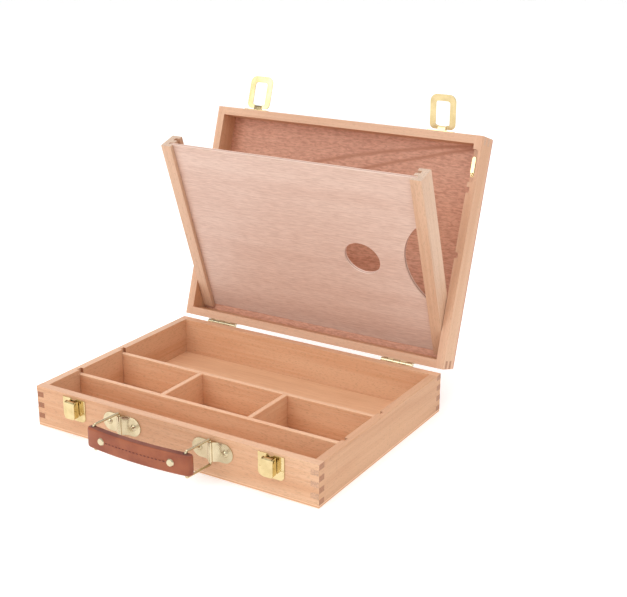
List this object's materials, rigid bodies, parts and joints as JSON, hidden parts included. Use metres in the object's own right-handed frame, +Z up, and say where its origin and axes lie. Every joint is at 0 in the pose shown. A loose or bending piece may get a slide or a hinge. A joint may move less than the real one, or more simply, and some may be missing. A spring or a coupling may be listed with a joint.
{
  "type": "pochade box",
  "caption": "Wooden pochade box: finger-jointed base with compartments, hinged lid with a fold-out palette carrier, draw catches and a leather carrying handle.",
  "frame": {"origin": "centre of the underside of the base, on the surface it rests on", "axes": "+X right as seen from the front, +Y towards the hinges, +Z up"},
  "size_m": [0.34, 0.4056, 0.3226],
  "materials": {
    "beech": "satin",
    "ply": "satin",
    "red_ply": "satin",
    "brass": "polished",
    "leather": "satin"
  },
  "bodies": {
    "base": {"base_front_board": "beech", "base_back_board": "beech", "base_left_board": "beech", "base_right_board": "beech", "base_bottom_panel": "ply", "long_divider_front": "beech", "long_divider_rear": "beech", "cross_divider_left": "beech", "cross_divider_right": "beech", "base_hinge_leaves": "brass", "hinge_pins": "brass", "base_hinge_screws": "brass", "latch_plate_left": "brass", "latch_plate_right": "brass", "latch_pins": "brass", "latch_plate_screws": "brass", "handle_bracket_left": "brass", "handle_bracket_right": "brass", "bracket_screws": "brass"},
    "lever_left": {"latch_lever_left": "brass"},
    "lever_right": {"latch_lever_right": "brass"},
    "left_bail": {"bail_left": "brass"},
    "right_bail": {"bail_right": "brass"},
    "handle": {"handle_strap": "leather", "handle_core": "leather", "handle_rivets": "brass"},
    "lid": {"lid_front_board": "beech", "lid_back_board": "beech", "lid_left_board": "beech", "lid_right_board": "beech", "lid_panel": "red_ply", "lid_hinge_leaves": "brass", "lid_hinge_screws": "brass", "ring_plate_left": "brass", "ring_plate_right": "brass", "ring_plate_screws": "brass", "rail_pivot_pins": "brass", "turn_button_screw": "brass"},
    "ring_left": {"catch_ring_left": "brass"},
    "ring_right": {"catch_ring_right": "brass"},
    "palette_carrier": {"rail_left": "beech", "rail_right": "beech"},
    "palette": {"palette": "ply"},
    "turn_button": {"turn_button": "brass"}
  },
  "joints": [
    {"name": "lid_hinge", "type": "hinge", "parent": "base", "child": "lid", "pos_m": [0, 0.1278, 0.0442], "axis": [1, 0, 0], "range_deg": [0, 108]},
    {"name": "carrier_tilt", "type": "hinge", "parent": "lid", "child": "palette_carrier", "pos_m": [0, 0.15426, 0.08292], "axis": [1, 0, 0], "range_deg": [-37, 0]},
    {"name": "palette_slide", "type": "slide", "parent": "palette_carrier", "child": "palette", "axis": [0, 0.3256, -0.9455], "range_m": [-0.215, 0]},
    {"name": "button_turn", "type": "hinge", "parent": "lid", "child": "turn_button", "pos_m": [0.164, 0.19662, 0.2437], "axis": [0, -0.9511, 0.309], "range_deg": [0, 129]},
    {"name": "lever_left_lift", "type": "hinge", "parent": "base", "child": "lever_left", "pos_m": [-0.119, -0.13, 0.037], "axis": [-1, 0, 0], "range_deg": [0, 80]},
    {"name": "lever_right_lift", "type": "hinge", "parent": "base", "child": "lever_right", "pos_m": [0.119, -0.13, 0.037], "axis": [-1, 0, 0], "range_deg": [0, 80]},
    {"name": "ring_left_swing", "type": "hinge", "parent": "lid", "child": "ring_left", "pos_m": [-0.119, 0.21359, 0.28655], "axis": [1, 0, 0], "range_deg": [-90, 90]},
    {"name": "ring_right_swing", "type": "hinge", "parent": "lid", "child": "ring_right", "pos_m": [0.119, 0.21359, 0.28655], "axis": [1, 0, 0], "range_deg": [-108, 72]},
    {"name": "bail_left_swing", "type": "hinge", "parent": "base", "child": "left_bail", "pos_m": [-0.057, -0.129, 0.0285], "axis": [0, 0, 1], "range_deg": [-70, 80]},
    {"name": "bail_right_swing", "type": "hinge", "parent": "base", "child": "right_bail", "pos_m": [0.053, -0.129, 0.0285], "axis": [0, 0, 1], "range_deg": [-70, 80]},
    {"name": "handle_pivot", "type": "hinge", "parent": "left_bail", "child": "handle", "pos_m": [-0.05996, -0.16287, 0.0285], "axis": [0, 0, 1], "range_deg": [-80, 70]}
  ],
  "couplings": [
    {"joint": "carrier_tilt", "follows": "lid_hinge", "ratio": -0.34259},
    {"joint": "bail_right_swing", "follows": "bail_left_swing", "ratio": 1},
    {"joint": "handle_pivot", "follows": "bail_left_swing", "ratio": -1}
  ]
}
